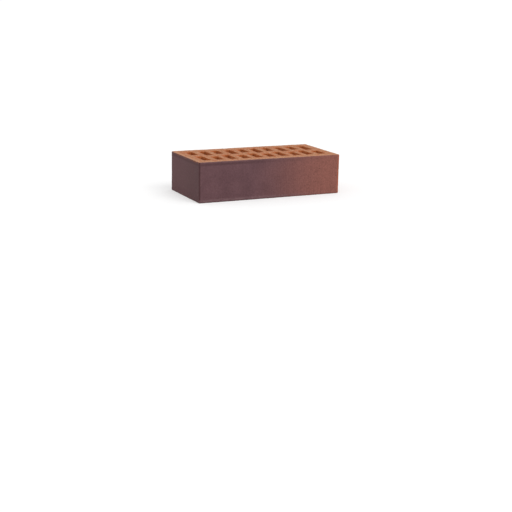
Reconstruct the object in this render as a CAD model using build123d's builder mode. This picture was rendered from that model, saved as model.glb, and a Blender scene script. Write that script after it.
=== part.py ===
"""Perforated clay facing brick, lying on its lower bed face.

Millimetres. +X runs along the brick, +Y across it from stretcher face to
stretcher face, and +Z points up. The origin is the middle of the lower bed.
"""

from build123d import *
import os

os.makedirs("parts", exist_ok=True)

# Work size of the fired brick
length = 250.0
width = 120.0
height = 65.0

# All twelve arrises have one small rounding
arris_radius = 1.5

# Slots run from bed to bed in two rows, their long sides across the brick
slot_width = 12.5
slot_corner_radius = 1.5
end_wall = 16.0      # header face to the first slot
face_wall = 18.0     # stretcher face to a slot
cross_wall = 10.3    # least clay between two slots of a row, nearly: it is evened out along the row
web = 14.0           # clay between the two rows
web_offset = 4.0     # the web steps this far off the middle, to one side and then the other

# Columns of slots, evenly spread between the two end walls
row_length = length - 2 * end_wall
columns = round((row_length + cross_wall) / (slot_width + cross_wall))
column_pitch = (row_length - slot_width) / (columns - 1)

# The outer ends of all slots
slot_reach = width / 2 - face_wall

# One extruded body, rounded on every edge, with its slots cut right through
with BuildPart() as brick:
    with BuildSketch():
        Rectangle(length, width)
    extrude(amount=height)
    fillet(brick.edges(), radius=arris_radius)

    with BuildSketch():
        for column in range(columns):
            x = (column - (columns - 1) / 2) * column_pitch
            # The first column has its long slot in front, and the next one behind
            web_middle = web_offset if column % 2 == 0 else -web_offset
            for side in (-1, 1):
                slot_length = slot_reach - web / 2 - side * web_middle
                y = side * (slot_reach - slot_length / 2)
                with Locations((x, y)):
                    RectangleRounded(slot_width, slot_length, slot_corner_radius)
    extrude(amount=height, mode=Mode.SUBTRACT)

brick.part.label = "brick"
export_step(brick.part, "parts/brick.step")
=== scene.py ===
"""The looks of a perforated clay facing brick: a flashed skin, and orange clay on its beds and in its slots.

Metres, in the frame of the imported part: +X along the brick, +Y across it, +Z up,
with the origin in the middle of the lower bed face. The heights of a relief and the
sizes inside a material are in millimetres.
"""

import math

import bpy
import numpy as np
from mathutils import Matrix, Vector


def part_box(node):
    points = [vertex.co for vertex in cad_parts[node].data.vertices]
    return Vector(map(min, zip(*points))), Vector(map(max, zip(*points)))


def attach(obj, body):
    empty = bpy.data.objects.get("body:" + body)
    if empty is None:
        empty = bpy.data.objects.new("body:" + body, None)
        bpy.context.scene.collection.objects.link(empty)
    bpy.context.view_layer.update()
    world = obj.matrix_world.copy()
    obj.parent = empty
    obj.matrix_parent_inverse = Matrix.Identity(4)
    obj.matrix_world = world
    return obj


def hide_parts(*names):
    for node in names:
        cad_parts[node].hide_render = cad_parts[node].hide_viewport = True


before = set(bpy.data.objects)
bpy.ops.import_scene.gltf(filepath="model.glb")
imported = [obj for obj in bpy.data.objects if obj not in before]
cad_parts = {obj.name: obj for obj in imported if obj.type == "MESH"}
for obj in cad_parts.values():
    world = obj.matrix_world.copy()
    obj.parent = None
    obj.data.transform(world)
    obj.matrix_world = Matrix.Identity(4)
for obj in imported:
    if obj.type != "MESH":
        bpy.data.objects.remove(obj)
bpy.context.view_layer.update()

MM = 0.001

# The brick's outline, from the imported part
BRICK_LOW, BRICK_HIGH = (np.array(corner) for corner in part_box("brick"))
LENGTH, WIDTH, HEIGHT = BRICK_HIGH - BRICK_LOW

# Half its length and width, and its height, in the millimetres of a material
HALF_LENGTH = LENGTH / 2 / MM
HALF_WIDTH = WIDTH / 2 / MM
FULL_HEIGHT = HEIGHT / MM

# Its arrises and slots, as they are cut in the part
ARRIS = 1.5 * MM
SLOT_WIDTH = 12.5 * MM
SLOT_CORNER = 1.5 * MM
END_WALL = 16 * MM
FACE_WALL = 18 * MM
WEB = 14 * MM
WEB_OFFSET = 4 * MM
COLUMNS = 10

# The mesh: how finely the clay is gridded, how many cuts an arris has on each side, how wide the
# eased edge of a slot's mouth is, and how far apart the rows down a slot are
STEP = 1.3 * MM
ARRIS_CUTS = 3
MOUTH = 0.8 * MM
SLOT_ROW = 5 * MM

# Where the wire tore a slot's mouth: how far the edge went back and down, how far off the bed still
# moves, and between which strengths the slots differ
TORN_BACK = 1.8 * MM
TORN_DOWN = 0.5 * MM
TORN_REACH = 5 * MM
TORN_STRENGTHS = (0.45, 1.0)

# A point this near a slot's wall lies on it, and a length this small keeps a division safe
ON_WALL = 0.01 * MM
TINY = 1e-9

# The lattice of random values behind the relief: its size, and how far it is moved off the origin
LATTICE = 64
LATTICE_SHIFT = 17.3

# The camera that took the picture: its turn, tilt and roll in degrees, how far it stands back from the
# brick's near lower corner and how far right and up of it, and its focal length in pixels of a picture
# this wide, on a sensor this wide in millimetres
CAMERA_AZIMUTH = -25.67
CAMERA_ELEVATION = 14.58
CAMERA_ROLL = 1.104
CAMERA_DISTANCE = 1676.6 * MM
CAMERA_ASIDE = (89.21 * MM, -81.75 * MM)
FOCAL_PIXELS = 1070.9
PICTURE_PIXELS = 512
SENSOR_WIDTH = 36.0

# A lamp from far away shines alike from any distance, so this one only keeps it clear of the brick
LAMP_DISTANCE = 2.0


def slot_boxes():
    """Centre and half size in plan of each slot, an array of (x, y, half width, half length).

    Two slots share a column. The web between them steps to one side of the middle and then
    to the other, so that long and short slots take turns along a row.
    """
    pitch = (LENGTH - 2 * END_WALL - SLOT_WIDTH) / (COLUMNS - 1)
    reach = WIDTH / 2 - FACE_WALL
    column = np.repeat(np.arange(COLUMNS), 2)
    side = np.tile([-1, 1], COLUMNS)
    web_middle = np.where(column % 2 == 0, WEB_OFFSET, -WEB_OFFSET)
    length = reach - WEB / 2 - side * web_middle
    x = (column - (COLUMNS - 1) / 2) * pitch
    y = side * (reach - length / 2)
    return np.stack([x, y, np.full(len(x), SLOT_WIDTH / 2), length / 2], axis=1)


SLOTS = slot_boxes()


def even_lines(stops, step):
    """Lines from the first stop to the last; each stretch between stops is split evenly into about one step.

    Stops that agree to a tenth of a micron count as one.
    """
    stops = np.unique(np.round(stops, 7))
    counts = np.maximum(1, np.round(np.diff(stops) / step)).astype(int)
    stretches = [np.linspace(a, b, n + 1)[:-1] for a, b, n in zip(stops, stops[1:], counts)]
    return np.concatenate([*stretches, stops[-1:]])


def face_to_face(low, high, stops, step):
    """Grid lines across the brick: even ones inside, and in each arris lines at even angles of its rounding.

    A line in an arris lies one arris radius times the tangent of its angle out from where the arris begins.
    """
    fall = ARRIS * np.tan(np.radians(np.linspace(0, 45, ARRIS_CUTS + 1)[1:]))
    inside = even_lines([low + ARRIS, *stops, high - ARRIS], step)
    return np.concatenate([low + ARRIS - fall[::-1], inside, high - ARRIS + fall])


def slot_stops(middles, halves):
    """Where grid lines lie along one axis: on both walls of each slot, and a mouth's width out from them."""
    return np.concatenate([middles - s * halves - s * out for s in (-1, 1) for out in (0, MOUTH)])


def plan_edges(clay):
    """Edges of the clay cells in plan, as pairs of grid corners with the clay on their left.

    clay is a grid of cells, true where there is clay. An edge lies wherever clay meets none.
    """
    ring = np.pad(clay, 1)
    faces = [
        (ring[1:-1, 1:] & ~ring[1:-1, :-1], (0, 0), (1, 0)),
        (ring[1:-1, :-1] & ~ring[1:-1, 1:], (1, 0), (0, 0)),
        (ring[:-1, 1:-1] & ~ring[1:, 1:-1], (0, 0), (0, 1)),
        (ring[1:, 1:-1] & ~ring[:-1, 1:-1], (0, 1), (0, 0)),
    ]
    edges = []
    for found, start, end in faces:
        cells = np.argwhere(found)
        edges.append(np.stack([cells + start, cells + end], axis=1))
    return np.concatenate(edges)


def walls(edges, levels):
    """Quads that carry each plan edge up through the given levels."""
    levels = np.asarray(levels)
    under, over = levels[:-1], levels[1:]
    quads = np.empty((len(edges), len(under), 4, 3), int)
    quads[:, :, (0, 3), :2] = edges[:, None, None, 0]
    quads[:, :, (1, 2), :2] = edges[:, None, None, 1]
    quads[:, :, 0, 2] = quads[:, :, 1, 2] = under
    quads[:, :, 2, 2] = quads[:, :, 3, 2] = over
    return quads.reshape(-1, 4, 3)


def beds(clay, bottom, top):
    """One quad for each clay cell on the lower bed, facing down, and one on the upper bed, facing up."""
    cells = np.argwhere(clay)
    ring = cells[:, None] + np.array([(0, 0), (1, 0), (1, 1), (0, 1)])
    upper = np.concatenate([ring, np.full(ring.shape[:2] + (1,), top)], axis=2)
    lower = np.concatenate([ring[:, ::-1], np.full(ring.shape[:2] + (1,), bottom)], axis=2)
    return np.concatenate([lower, upper])


def round_slot_corners(xy):
    """Moves grid corners so that each slot's square corners become arcs.

    Seen from the arc's centre, a square ring of points becomes a round one: each point is
    drawn in by its larger offset over its distance. The pull fades out in the clay around.
    """
    fade = 3 * SLOT_CORNER
    out = xy.copy()
    for x, y, half_width, half_length in SLOTS:
        for corner in np.array([(-1, -1), (-1, 1), (1, -1), (1, 1)]):
            centre = np.array([x, y]) + corner * (half_width - SLOT_CORNER, half_length - SLOT_CORNER)
            offset = (xy - centre) * corner
            larger = offset.max(axis=1)
            distance = np.maximum(np.hypot(*offset.T), TINY)
            near = (offset.min(axis=1) > 0) & (larger < fade)
            keep = np.clip((larger - SLOT_CORNER) / (fade - SLOT_CORNER), 0, 1)
            scale = larger / distance * (1 - keep) + keep
            out[near] = (centre + offset * scale[:, None] * corner)[near]
    return out


def slot_distance(xy):
    """Distance in plan to the nearest slot's wall, negative inside, and the direction away from it.

    A slot is a smaller box grown by its corner radius, so it is the distance to that box less the radius.
    """
    best = np.full(len(xy), np.inf)
    away = np.zeros((len(xy), 2))
    for x, y, half_width, half_length in SLOTS:
        offset = xy - (x, y)
        beyond = np.abs(offset) - (half_width - SLOT_CORNER, half_length - SLOT_CORNER)
        outside = np.maximum(beyond, 0)
        length = np.hypot(*outside.T)
        distance = length + np.minimum(beyond.max(axis=1), 0) - SLOT_CORNER
        closer = distance < best
        best = np.where(closer, distance, best)
        direction = np.sign(offset) * outside / np.maximum(length, TINY)[:, None]
        away[closer] = direction[closer]
    return best, away


def clay_noise(points, size, seed):
    """Smooth noise from -1 to 1 at points: random values on a cubic lattice of this size, blended between.

    The size is one length, or one for each axis. The blend is an even S along each axis.
    """
    table = np.random.default_rng(seed).uniform(-1, 1, (LATTICE, LATTICE, LATTICE))
    q = points / size + LATTICE_SHIFT
    cell = np.floor(q).astype(int)
    t = q - cell
    t = t * t * (3 - 2 * t)
    total = np.zeros(len(points))
    for corner in np.ndindex(2, 2, 2):
        weight = np.prod(np.where(corner, t, 1 - t), axis=1)
        at = (cell + corner) % LATTICE
        total += weight * table[at[:, 0], at[:, 1], at[:, 2]]
    return total


def smooth_step(low, high, values):
    """Nought below low, one above high, and an even S between them."""
    t = np.clip((values - low) / (high - low), 0, 1)
    return t * t * (3 - 2 * t)


def torn_corner(points):
    """How much the wire tore a slot's mouth: most at the left of its rear wall, fading to the wall's middle.

    Each slot's own strength is multiplied by an S over the line of the rear wall, and by one
    that falls from the left of the slot's middle to the right of it.
    """
    torn = np.zeros(len(points))
    strengths = np.random.default_rng(seed=16).uniform(*TORN_STRENGTHS, len(SLOTS))
    for (x, y, half_width, half_length), strength in zip(SLOTS, strengths):
        offset = points[:, :2] - (x, y)
        near = (np.abs(offset) < (half_width + TORN_REACH, half_length + TORN_REACH)).all(axis=1)
        rear = smooth_step(-1.5 * MM, -0.5 * MM, offset[:, 1] - half_length)
        left = 1 - smooth_step(-0.35, 0.25, offset[:, 0] / half_width)
        torn = np.where(near, strength * rear * left, torn)
    return torn


def brick_mesh():
    """The whole fired body as one closed mesh.

    A grid of cells in plan is either clay or slot. Its quads on the beds, round the outside
    and down the slots share their corners, and then each corner is moved: slot corners onto
    arcs, outer corners onto the rounded box, torn mouths back and down, and slot mouths onto
    a small easing. Outer corners go to the nearest point of the core box plus one arris radius
    along the way out.

    It gives the points and the quads, and for each point whether it lies inside a slot,
    whether it lies on a slot's mouth, and how torn its wall is.
    """
    xs = face_to_face(BRICK_LOW[0], BRICK_HIGH[0], slot_stops(SLOTS[:, 0], SLOTS[:, 2]), STEP)
    ys = face_to_face(BRICK_LOW[1], BRICK_HIGH[1], slot_stops(SLOTS[:, 1], SLOTS[:, 3]), STEP)
    zs = face_to_face(BRICK_LOW[2], BRICK_HIGH[2], [], STEP)
    down = even_lines([BRICK_LOW[2] + MOUTH, BRICK_HIGH[2] - MOUTH], SLOT_ROW)
    top = len(zs) - 1

    middle_x, middle_y = (xs[:-1] + xs[1:]) / 2, (ys[:-1] + ys[1:]) / 2
    clay = np.ones((len(middle_x), len(middle_y)), bool)
    for x, y, half_width, half_length in SLOTS:
        clay[np.ix_(np.abs(middle_x - x) < half_width, np.abs(middle_y - y) < half_length)] = False

    edges = plan_edges(clay)
    limits = np.array([len(xs) - 1, len(ys) - 1])
    on_rim = ((edges == 0) | (edges == limits)).all(axis=1).any(axis=1)
    slot_levels = [0, *range(top + 1, top + 1 + len(down)), top]
    quads = np.concatenate([
        beds(clay, 0, top),
        walls(edges[on_rim], np.arange(top + 1)),
        walls(edges[~on_rim], slot_levels),
    ])

    keys, corners = np.unique(quads.reshape(-1, 3), axis=0, return_inverse=True)
    i, j, k = keys.T
    heights = np.concatenate([zs, down])
    points = np.stack([xs[i], ys[j], heights[k]], axis=1)
    points[:, :2] = round_slot_corners(points[:, :2])

    in_slot = k > top
    core = np.clip(points, BRICK_LOW + ARRIS, BRICK_HIGH - ARRIS)
    out = points - core
    rounded = core + ARRIS * out / np.maximum(np.linalg.norm(out, axis=1), TINY)[:, None]
    points = np.where(in_slot[:, None], points, rounded)

    # The bed is pulled back from a torn wall, and the first row inside the slot goes deeper
    distance, away = slot_distance(points[:, :2])
    on_bed = (k == 0) | (k == top)
    mouth = on_bed & (np.abs(distance) < ON_WALL)
    torn = torn_corner(points)
    pulled = on_bed * torn * np.clip(1 - distance / TORN_REACH, 0, 1)
    points[:, :2] += TORN_BACK * pulled[:, None] * away
    deeper = (k == slot_levels[-2]) * 1.0 - (k == slot_levels[1])
    points[:, 2] -= TORN_DOWN * torn * deeper

    # A mouth's own edge goes to the middle of its eased rounding
    ease = MOUTH * (1 - math.cos(math.radians(45)))
    up = np.where(k == top, 1.0, -1.0)
    points[mouth, :2] += ease * away[mouth]
    points[mouth, 2] -= ease * up[mouth]
    return points, corners.reshape(-1, 4), in_slot, mouth, (in_slot | mouth) * torn


def move_vertices(mesh, points):
    """Puts the vertices of a mesh at these points."""
    mesh.vertices.foreach_set("co", points.astype(np.float32).ravel())


def mesh_of(name, points, quads):
    """A mesh with these points and quads, shaded smooth."""
    mesh = bpy.data.meshes.new(name)
    mesh.vertices.add(len(points))
    move_vertices(mesh, points)
    mesh.loops.add(quads.size)
    mesh.loops.foreach_set("vertex_index", quads.astype(np.int32).ravel())
    mesh.polygons.add(len(quads))
    mesh.polygons.foreach_set("loop_start", np.arange(0, quads.size, 4, dtype=np.int32))
    mesh.update(calc_edges=True)
    mesh.polygons.foreach_set("use_smooth", np.ones(len(quads), bool))
    mesh.validate()
    return mesh


def vertex_normals(mesh):
    """The vertex normals of a mesh as an array."""
    normals = np.empty(len(mesh.vertices) * 3, np.float32)
    mesh.vertices.foreach_get("normal", normals)
    return normals.reshape(-1, 3).astype(float)


def new_object(name, data):
    """An object of this name in the scene, holding a mesh, a camera or a lamp."""
    thing = bpy.data.objects.new(name, data)
    bpy.context.scene.collection.objects.link(thing)
    return thing


def point_values(mesh, name, values):
    """Stores one number a vertex under a name that a material can read."""
    attribute = mesh.attributes.new(name, "FLOAT", "POINT")
    attribute.data.foreach_set("value", values.astype(np.float32))


def stretcher(points):
    """One on the two long side faces, nought on the headers."""
    return smooth_step(0.96, 1.0, np.abs(points[:, 1]) / (WIDTH / 2))


def lip(points):
    """The lip along the lower bed: a bell curve of the height above that bed."""
    middle, spread = 3.2 * MM, 1.6 * MM
    height = points[:, 2] - BRICK_LOW[2]
    return np.exp(-((height - middle) / spread) ** 2)


def skin_relief(points):
    """How far the outer skin stands out: slow swells, faint upright die lines, and the stretchers' lips."""
    swell = 0.10 * clay_noise(points, 60 * MM, seed=1) + 0.05 * clay_noise(points, 19 * MM, seed=2)
    lines = 0.03 * clay_noise(points, np.array([2.2, 2.2, 160]) * MM, seed=3)
    lines += 0.04 * clay_noise(points, np.array([7, 7, 160]) * MM, seed=4)
    return swell + lines + 0.35 * stretcher(points) * lip(points)


def bed_relief(points):
    """How far a wire-cut bed stands out: swells, drag ridges across the brick, torn grain and pits.

    Ridges are noise drawn out along Y. Pits are the peaks of a fine noise, turned down.
    """
    swell = 0.12 * clay_noise(points, 45 * MM, seed=5)
    ridges = 0.10 * clay_noise(points, np.array([2.6, 13, 13]) * MM, seed=6)
    ridges += 0.07 * clay_noise(points, np.array([7, 40, 40]) * MM, seed=7)
    grain = 0.09 * clay_noise(points, 2.7 * MM, seed=8)
    pits = np.maximum(0, clay_noise(points, np.array([2.8, 4, 4]) * MM, seed=9) - 0.40)
    return swell + ridges + grain - 0.9 * pits


def slot_relief(points):
    """How far a slot's wall stands out: fine die lines from bed to bed over a slow swell."""
    lines = 0.06 * clay_noise(points, np.array([1.9, 1.9, 90]) * MM, seed=10)
    return lines + 0.10 * clay_noise(points, 16 * MM, seed=11)


def arris_wear(points):
    """How far a worn arris falls back: a little everywhere, and more or less with a fine noise."""
    return 0.10 * clay_noise(points, 3.1 * MM, seed=12) + 0.05


def arris_chips(points):
    """How deep the chips are on an arris: the peaks of a noise of 5 mm."""
    return 1.9 * np.maximum(0, clay_noise(points, 5 * MM, seed=13) - 0.52)


def mouth_relief(points):
    """How far the edge of a slot's mouth stands out: a ragged line of two noises, a little worn."""
    ragged = 0.22 * clay_noise(points, 2.4 * MM, seed=14) + 0.12 * clay_noise(points, 9 * MM, seed=15)
    return ragged - 0.05


def on_arris(points):
    """One on an arris, nought on a flat face.

    On an arris two axes lie beyond the flat faces, so it is an S of the second largest of three excesses.
    """
    middle, half_size = (BRICK_LOW + BRICK_HIGH) / 2, (BRICK_HIGH - BRICK_LOW) / 2
    excess = np.maximum(np.abs(points - middle) - half_size + ARRIS, 0)
    return smooth_step(0.35, 1.0, np.sort(excess, axis=1)[:, 1] / (0.30 * ARRIS))


def fired_brick():
    """The finished brick: its closed body, then its relief in millimetres pushed out along the normals.

    Each vertex also gets what its clay went through, and where light and shade are painted. skin is one
    outside and nought on the beds and in the slots. chip is the depth of a chip. slot is one on a slot's
    wall and a half on its mouth, and torn is how much the wire tore it. rim is one at the outline of a bed,
    where a highlight is painted, corner on the upright arrises, where shade is painted, and lip along the
    lower edge of a stretcher.
    """
    points, quads, in_slot, mouth, torn = brick_mesh()
    mesh = mesh_of("fired_brick", points, quads)
    normals = vertex_normals(mesh)

    # The skin is where a normal lies nearly level
    outside = 1 - (in_slot | mouth).astype(float)
    skin = smooth_step(0.25, 0.95, np.hypot(normals[:, 0], normals[:, 1]) * outside)
    bed = (1 - skin) * (1 - in_slot)
    arris = on_arris(points) * outside
    chips = arris_chips(points)

    relief = skin * skin_relief(points) + bed * bed_relief(points) + in_slot * slot_relief(points)
    relief -= arris * (arris_wear(points) + chips)
    relief += mouth * mouth_relief(points)
    move_vertices(mesh, points + normals * relief[:, None] * MM)
    mesh.update()

    # How far in from the headers and the stretchers a point lies
    inset = np.array([LENGTH, WIDTH]) / 2 - np.abs(points[:, :2])
    point_values(mesh, "skin", skin)
    point_values(mesh, "chip", arris * chips)
    point_values(mesh, "slot", in_slot + 0.5 * mouth)
    point_values(mesh, "torn", torn)
    # Where a highlight is painted along the outline of a bed
    point_values(mesh, "rim", 1 - smooth_step(1.5 * MM, 8 * MM, inset.min(axis=1)))
    # Where shade is painted on the upright arrises
    point_values(mesh, "corner", 1 - smooth_step(1.2 * MM, 2.6 * MM, inset.max(axis=1)))
    point_values(mesh, "lip", stretcher(points) * lip(points))
    return new_object("fired_brick", mesh)


def cleared_tree(owner):
    """The emptied node tree of a material or a world."""
    owner.use_nodes = True
    owner.node_tree.nodes.clear()
    return owner.node_tree


def add_node(tree, kind, inputs=(), **settings):
    """A node with these settings, whose inputs are links or constants, in order or by name or number."""
    node = tree.nodes.new(kind)
    for name, value in settings.items():
        setattr(node, name, value)
    pairs = inputs.items() if isinstance(inputs, dict) else enumerate(inputs)
    for key, value in pairs:
        if isinstance(value, bpy.types.NodeSocket):
            tree.links.new(value, node.inputs[key])
        else:
            node.inputs[key].default_value = value
    return node


# How far the next seed lies along each axis, in noise and in grains
NOISE_STRIDE = (7.3, 3.1, 5.7)
GRAIN_STRIDE = (4.1, 6.7, 2.9)


class Finish:
    """A material in the making: each call adds a node and gives back its output.

    x and y are the place on the brick, and from_top is the depth under its upper bed.
    """

    def __init__(self, name):
        """An empty material, and the place on the brick: the object's own metres times a thousand."""
        self.material = bpy.data.materials.new(name)
        self.tree = cleared_tree(self.material)
        metres = self.add("ShaderNodeTexCoord").outputs["Object"]
        per_metre = (1 / MM, 1 / MM, 1 / MM)
        self.place = self.add("ShaderNodeVectorMath", (metres, per_metre), operation="MULTIPLY").outputs[0]
        axes = self.add("ShaderNodeSeparateXYZ", (self.place,)).outputs
        self.x = axes["X"]
        self.y = axes["Y"]
        self.from_top = self.minus(FULL_HEIGHT, axes["Z"])

    def add(self, kind, inputs=(), **settings):
        """A node of this material."""
        return add_node(self.tree, kind, inputs, **settings)

    def math(self, operation, *values, clamp=False):
        """One step of arithmetic."""
        return self.add("ShaderNodeMath", values, operation=operation, use_clamp=clamp).outputs[0]

    def plus(self, a, b):
        """The sum of two values."""
        return self.math("ADD", a, b)

    def minus(self, a, b, clamp=False):
        """The first value less the second, held between nought and one if it is clamped."""
        return self.math("SUBTRACT", a, b, clamp=clamp)

    def times(self, product, *factors):
        """The product of all the values."""
        for factor in factors:
            product = self.math("MULTIPLY", product, factor)
        return product

    def scaled(self, value, factor, offset):
        """The value times the factor, plus the offset."""
        return self.math("MULTIPLY_ADD", value, factor, offset)

    def larger(self, a, b):
        """The larger of two values."""
        return self.math("MAXIMUM", a, b)

    def smaller(self, a, b):
        """The smaller of two values."""
        return self.math("MINIMUM", a, b)

    def attribute(self, name):
        """A number stored on the mesh."""
        return self.add("ShaderNodeAttribute", attribute_name=name).outputs["Fac"]

    def moved(self, sizes, seed, stride):
        """The place counted in these sizes, one for each axis, and moved on by a stride for each seed."""
        return self.add("ShaderNodeMapping", {
            "Vector": self.place,
            "Location": tuple(seed * step for step in stride),
            "Scale": tuple(1 / size for size in sizes),
        }).outputs[0]

    def noise(self, size, seed, detail=2.0, roughness=0.5):
        """Noise about 0.5 with a grain of this size in millimetres, one length or one for each axis."""
        sizes = size if isinstance(size, tuple) else (size, size, size)
        return self.add("ShaderNodeTexNoise", {
            "Vector": self.moved(sizes, seed, NOISE_STRIDE),
            "Scale": 1.0,
            "Detail": detail,
            "Roughness": roughness,
        }).outputs[0]

    def ramp(self, value, low, high):
        """Nought at low, one at high, and an even S between them."""
        return self.add("ShaderNodeMapRange", {"Value": value, "From Min": low, "From Max": high},
                        interpolation_type="SMOOTHSTEP").outputs[0]

    def grains(self, cell, radius, share, seed):
        """Scattered grains: one for each cell of this size, in this share of the cells, up to this radius.

        A cell's chance sets its grain's radius, which is nought from the share upwards. A grain
        is a ramp of that radius less the distance from its cell's point.
        """
        cells = self.add("ShaderNodeTexVoronoi", {
            "Vector": self.moved((cell, cell, cell), seed, GRAIN_STRIDE),
            "Scale": 1.0,
        }).outputs
        chance = self.add("ShaderNodeSeparateColor", (cells["Color"],)).outputs[0]
        size = self.scaled(chance, -radius / share, radius)
        inside = self.scaled(cells["Distance"], -cell, size)
        return self.ramp(inside, 0.0, 0.3 * radius)

    def blend(self, share, a, b, kind="MIX"):
        """Colour a turning into colour b."""
        colours = {0: share, 6: a, 7: b}
        return self.add("ShaderNodeMix", colours, data_type="RGBA", blend_type=kind).outputs[2]

    def toned(self, colour, tone):
        """A colour made darker or lighter by a tone that it is multiplied by."""
        return self.blend(1.0, colour, tone, "MULTIPLY")


def paint(red, green, blue):
    """A colour given as it looks, from 0 to 255, turned into the light it sends back."""
    shown = np.array([red, green, blue]) / 255
    linear = np.where(shown <= 0.04045, shown / 12.92, ((shown + 0.055) / 1.055) ** 2.4)
    return (*linear.tolist(), 1.0)


# The colours of the fired body, as they look in plain white light, besides one that is painted shade and one
# that is a painted highlight
PLUM = paint(105, 75, 79)
DEEP_PLUM = paint(100, 71, 75)
# Painted shade for the upright arrises and for the band under the upper arris
SHADE_PLUM = paint(80, 54, 56)
TERRACOTTA = paint(141, 90, 80)
RED_TERRACOTTA = paint(166, 94, 70)
SMOKED = paint(101, 72, 74)
DARK_SMOKED = paint(94, 67, 69)
# A paler plum for the band along the lower lip
PALE_PLUM = paint(122, 94, 96)
FLECK = paint(150, 92, 66)
RUST = paint(116, 70, 54)
IRON = paint(66, 44, 42)
GROG = paint(190, 146, 122)
ORANGE_CLAY = paint(173, 116, 82)
TAN_CLAY = paint(187, 140, 109)
# Painted highlight: a paler tan for the outline of a bed, where the arris catches light
RIM_HIGHLIGHT = paint(194, 146, 117)
RED_CLAY = paint(172, 102, 68)
CRUMB = paint(208, 168, 138)
SLOT_CLAY = paint(181, 105, 61)
DEEP_SLOT_CLAY = paint(162, 87, 45)
TORN_CLAY = paint(196, 118, 84)
WHITE = paint(255, 255, 255)

# The flame along the brick, in millimetres: whole up to the first place along X and gone at the second.
# Its edge wavers within the third length, and goes the fourth further along just under the upper arris.
FLAME_WHOLE = -43
FLAME_GONE = 118
FLAME_WAVER = 20.0
FLAME_FURTHER = 8.0


def flame_edge(f):
    """Nought where the flame was whole and one where it was gone.

    It is a ramp along X, moved to and fro by a slow noise, and moved along near the upper arris.
    """
    waver = f.scaled(f.noise(46, seed=1), FLAME_WAVER, -FLAME_WAVER / 2)
    along = f.plus(f.x, waver)
    along = f.scaled(f.ramp(f.from_top, 18, 2), -FLAME_FURTHER, along)
    return f.ramp(along, FLAME_WHOLE, FLAME_GONE)


def header_skin(f, skin, smoked_header):
    """The skin with its headers: one smoked, darkest by the near corner, and one that stayed red."""
    smoked = f.blend(f.ramp(f.y, 20, -50), SMOKED, DARK_SMOKED)
    skin = f.blend(smoked_header, skin, smoked)
    red_header = f.ramp(f.x, HALF_LENGTH - 3.8, HALF_LENGTH - 2.2)
    return f.blend(red_header, skin, RED_TERRACOTTA)


def shaded_arrises(f, skin, flame):
    """The skin with painted shade on its upright arrises and in a band under the upper one, darkest where
    the flame was.

    The band is the product of two ramps of the depth, and it is stronger towards the smoked header.
    """
    # Painted shade: a dark band just under the upper arris
    shade_band = f.times(f.ramp(f.from_top, 7.5, 5.0), f.ramp(f.from_top, 1.0, 3.5))
    shade_band = f.times(shade_band, f.scaled(f.ramp(f.x, -60, 0), -0.30, 0.57))
    # Painted shade on the upright arrises as well
    painted_shade = f.larger(f.attribute("corner"), shade_band)
    return f.blend(f.times(painted_shade, flame), skin, SHADE_PLUM)


def pale_lip_band(f, skin, flame):
    """The skin with the lip that wet clay leaves along the lower bed, paler in patches."""
    patches = f.ramp(f.noise((9, 9, 3), seed=14), 0.20, 0.55)
    return f.blend(f.times(f.attribute("lip"), patches, flame), skin, PALE_PLUM)


def worn_header(f, skin, smoked_header):
    """The smoked header with flecks where its skin came off by the beds, and rust along its upper arris."""
    by_upper_bed = f.ramp(f.from_top, 9, 3)
    by_lower_bed = f.ramp(f.from_top, FULL_HEIGHT - 9, FULL_HEIGHT - 4)
    flecks = f.times(f.grains(cell=3.0, radius=1.0, share=0.5, seed=6), smoked_header)
    skin = f.blend(f.times(flecks, f.larger(by_upper_bed, by_lower_bed), 0.6), skin, FLECK)
    rusty = f.ramp(f.noise((9, 5, 9), seed=17, detail=1.0), 0.42, 0.60)
    by_header = f.ramp(f.x, 3.5 - HALF_LENGTH, 1.5 - HALF_LENGTH)
    return f.blend(f.times(rusty, f.ramp(f.from_top, 3.4, 1.6), by_header), skin, RUST)


def sanded(f, skin, bright):
    """The skin with its sand: grit, die lines, pale grog and dark iron, all strongest in the terracotta."""
    grit = f.scaled(f.noise(2.6, seed=4, detail=1.0), 0.7, f.noise(0.8, seed=3, roughness=0.7))
    grit = f.scaled(f.noise((1.8, 1.8, 60), seed=12, detail=1.0), 0.3, grit)
    strength = f.scaled(bright, 0.25, 0.55)
    skin = f.toned(skin, f.scaled(f.minus(grit, 1.0), strength, 1.0))
    iron = f.times(f.grains(cell=3.4, radius=1.0, share=0.5, seed=1), f.scaled(bright, 0.25, 0.22))
    grog = f.times(f.grains(cell=2.4, radius=0.6, share=0.5, seed=2), f.scaled(bright, 0.25, 0.13))
    skin = f.blend(iron, skin, IRON)
    return f.blend(grog, skin, GROG)


def flashed_skin(f):
    """The fired outside: plum where the flame was, sandy terracotta where it was not, worn at the edges,
    with painted shade on its arrises.
    """
    bright = flame_edge(f)
    flame = f.minus(1.0, bright)
    smoked_header = f.ramp(f.x, 1.4 - HALF_LENGTH, 0.4 - HALF_LENGTH)
    plum = f.blend(f.ramp(f.noise(30, seed=2, detail=1.0), 0.35, 0.65), PLUM, DEEP_PLUM)
    skin = f.blend(bright, plum, TERRACOTTA)
    skin = header_skin(f, skin, smoked_header)
    skin = shaded_arrises(f, skin, flame)
    skin = pale_lip_band(f, skin, flame)
    skin = worn_header(f, skin, smoked_header)
    return sanded(f, skin, bright)


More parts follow.
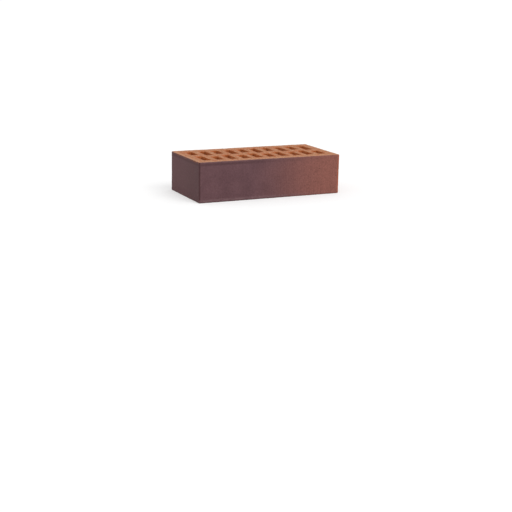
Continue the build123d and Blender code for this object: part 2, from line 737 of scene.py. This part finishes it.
def wire_cut_body(f):
    """The orange body as the wire leaves it: short drags of tan and red clay, crumbs and dark grains."""
    drag = f.ramp(f.noise((3.8, 8.5, 8.5), seed=5, detail=3.0, roughness=0.6), 0.40, 0.62)
    patch = f.ramp(f.noise((12, 13, 13), seed=6, detail=3.0, roughness=0.6), 0.40, 0.62)
    body = f.blend(patch, ORANGE_CLAY, RED_CLAY)
    body = f.blend(f.times(drag, 0.75), body, TAN_CLAY)
    # A painted highlight along the outline of the bed
    body = f.blend(f.times(f.attribute("rim"), 0.55), body, RIM_HIGHLIGHT)
    grit = f.plus(f.noise(0.7, seed=7, roughness=0.7), f.noise((1.2, 4, 4), seed=15))
    body = f.toned(body, f.scaled(grit, 0.8, 0.2))
    crumbs = f.times(f.grains(cell=2.2, radius=0.8, share=0.6, seed=3), 0.5)
    body = f.blend(crumbs, body, CRUMB)
    return f.blend(f.times(f.grains(cell=3.8, radius=0.9, share=0.4, seed=4), 0.35), body, IRON)


def slot_wall(f):
    """A slot's wall: deep orange, lined from bed to bed where the core slid past, torn pale at a corner."""
    lines = f.ramp(f.noise((2.4, 2.4, 50), seed=8), 0.35, 0.70)
    wall = f.blend(lines, SLOT_CLAY, DEEP_SLOT_CLAY)
    from_bed = f.smaller(f.from_top, f.minus(FULL_HEIGHT, f.from_top))
    wall = f.blend(f.times(f.attribute("torn"), f.ramp(from_bed, 2.6, 1.3)), wall, TORN_CLAY)
    grit = f.noise(1.1, seed=16, detail=3.0, roughness=0.7)
    return f.toned(wall, f.scaled(grit, 0.9, 0.55))


def skin_cover(f):
    """How much the skin covers the body: it ends along the arris of a bed in a slightly broken line.

    A chip bares the body. Where the flame was strong it also reached round the arris of a
    stretcher, and tints the rim of the bed, away from the slots.
    """
    broken = f.scaled(f.noise(2.2, seed=9), 0.5, -0.25)
    broken = f.scaled(f.attribute("chip"), -1.6, broken)
    covered = f.ramp(f.plus(f.attribute("skin"), broken), 0.38, 0.62)
    on_rim = f.ramp(f.math("ABSOLUTE", f.y), HALF_WIDTH - 3, HALF_WIDTH - 1)
    tint = f.minus(0.45, f.attribute("slot"), clamp=True)
    return f.larger(covered, f.times(on_rim, f.ramp(f.x, 40, -40), tint))


def clay_bump(f, covered):
    """The finest relief: sand, die lines and pinholes on the skin, torn drags and grains on the body."""
    sand = f.noise(0.8, seed=3, roughness=0.7)
    lines = f.noise((1.3, 1.3, 70), seed=12)
    drags = f.noise((0.9, 8, 8), seed=13, detail=3.0)
    pinholes = f.grains(cell=5.0, radius=0.7, share=0.4, seed=5)
    smooth_height = f.scaled(sand, 0.22, f.times(lines, 0.10))
    smooth_height = f.scaled(pinholes, -0.25, smooth_height)
    rough_height = f.scaled(sand, 0.45, f.times(drags, 0.35))
    height = f.blend(covered, rough_height, smooth_height)
    return f.add("ShaderNodeBump", {"Height": height, "Strength": 1.0, "Distance": MM}).outputs[0]


def fired_clay():
    """Clay fired in one piece: a flashed skin that goes from plum to terracotta, over an orange body."""
    f = Finish("fired_clay")
    covered = skin_cover(f)
    body = f.blend(f.attribute("slot"), wire_cut_body(f), slot_wall(f))
    shader = f.add("ShaderNodeBsdfPrincipled", {
        "Base Color": f.blend(covered, body, flashed_skin(f)),
        "Roughness": f.scaled(covered, -0.20, 0.92),
        "IOR": 1.45,
        "Specular IOR Level": 0.15,
        "Normal": clay_bump(f, covered),
    })
    f.add("ShaderNodeOutputMaterial", {"Surface": shader.outputs[0]})
    return f.material


def aim(azimuth, elevation, roll=0.0):
    """Right, up and back of a camera or lamp that looks at the brick from that azimuth and elevation.

    Back points from the brick to it: -Y turned about Z by the azimuth and lifted by the elevation.
    Right lies level and up is square to both, before the roll turns them about back.
    """
    a, e, r = np.radians([azimuth, elevation, roll])
    back = np.array([math.sin(a) * math.cos(e), -math.cos(a) * math.cos(e), math.sin(e)])
    right = np.array([math.cos(a), math.sin(a), 0.0])
    up = np.cross(back, right)
    return math.cos(r) * right + math.sin(r) * up, math.cos(r) * up - math.sin(r) * right, back


def placed(name, data, at, right, up, back):
    """A new object at a point, with its own X, Y and Z along right, up and back."""
    matrix = np.eye(4)
    matrix[:3, 0], matrix[:3, 1], matrix[:3, 2], matrix[:3, 3] = right, up, back, at
    thing = new_object(name, data)
    thing.matrix_world = matrix.T.tolist()
    return thing


def picture_camera():
    """The camera of the picture, measured from the near lower corner of the brick."""
    right, up, back = aim(CAMERA_AZIMUTH, CAMERA_ELEVATION, CAMERA_ROLL)
    data = bpy.data.cameras.new("picture_camera")
    data.sensor_width = SENSOR_WIDTH
    data.lens = FOCAL_PIXELS / PICTURE_PIXELS * SENSOR_WIDTH
    data.clip_start, data.clip_end = 0.1, 100.0
    aside = CAMERA_ASIDE[0] * right + CAMERA_ASIDE[1] * up
    at = BRICK_LOW + aside + CAMERA_DISTANCE * back
    return placed("picture_camera", data, at, right, up, back)


def soft_lamp(name, azimuth, elevation, level, spread):
    """A wide lamp from far away; level is how bright a white surface that faces it becomes."""
    data = bpy.data.lights.new(name, "SUN")
    data.energy = math.pi * level
    data.angle = math.radians(spread)
    right, up, back = aim(azimuth, elevation)
    placed(name, data, LAMP_DISTANCE * back, right, up, back)


def seen_directly(tree):
    """One where the camera, a reflection or a clear body sees the surface, and nought where only light does.

    It is the largest of the three kinds of ray, each of which is nought or one.
    """
    rays = add_node(tree, "ShaderNodeLightPath").outputs
    seen = rays["Is Camera Ray"]
    for name in ("Is Glossy Ray", "Is Transmission Ray"):
        seen = add_node(tree, "ShaderNodeMath", (seen, rays[name]), operation="MAXIMUM").outputs[0]
    return seen


def studio_world(fill):
    """A white studio: fill is the level of its light on the brick, and to the eye it is plain white."""
    world = bpy.data.worlds.new("studio")
    tree = cleared_tree(world)
    light = add_node(tree, "ShaderNodeBackground", {"Color": WHITE, "Strength": fill})
    white = add_node(tree, "ShaderNodeBackground", {"Color": WHITE, "Strength": 1.0})
    mix = add_node(tree, "ShaderNodeMixShader", (seen_directly(tree), light.outputs[0], white.outputs[0]))
    add_node(tree, "ShaderNodeOutputWorld", (mix.outputs[0],))
    bpy.context.scene.world = world


def studio_floor(half, tone, glow):
    """A wide pale floor that keeps the shadow; a glow that is seen but lights nothing lifts it to white."""
    corners = np.array([(-half, -half, 0), (half, -half, 0), (half, half, 0), (-half, half, 0)], float)
    mesh = mesh_of("floor", corners, np.array([[0, 1, 2, 3]]))
    floor = new_object("floor", mesh)
    material = bpy.data.materials.new("floor_paint")
    tree = cleared_tree(material)
    matt = add_node(tree, "ShaderNodeBsdfDiffuse", {"Color": (tone, tone, tone, 1.0)})
    strength = add_node(tree, "ShaderNodeMath", (seen_directly(tree), glow), operation="MULTIPLY")
    lift = add_node(tree, "ShaderNodeEmission", {"Color": WHITE, "Strength": strength.outputs[0]})
    both = add_node(tree, "ShaderNodeAddShader", (matt.outputs[0], lift.outputs[0]))
    add_node(tree, "ShaderNodeOutputMaterial", {"Surface": both.outputs[0]})
    mesh.materials.append(material)


# The one piece
brick = fired_brick()
brick.data.materials.append(fired_clay())
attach(brick, "root")
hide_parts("brick")

# What it is seen with
bpy.context.scene.camera = picture_camera()
soft_lamp("key_lamp", azimuth=20, elevation=45, level=0.40, spread=40)
soft_lamp("side_lamp", azimuth=-115, elevation=15, level=0.10, spread=40)
studio_world(fill=0.75)
studio_floor(half=30.0, tone=0.60, glow=0.42)
bpy.context.scene.view_settings.view_transform = "Standard"
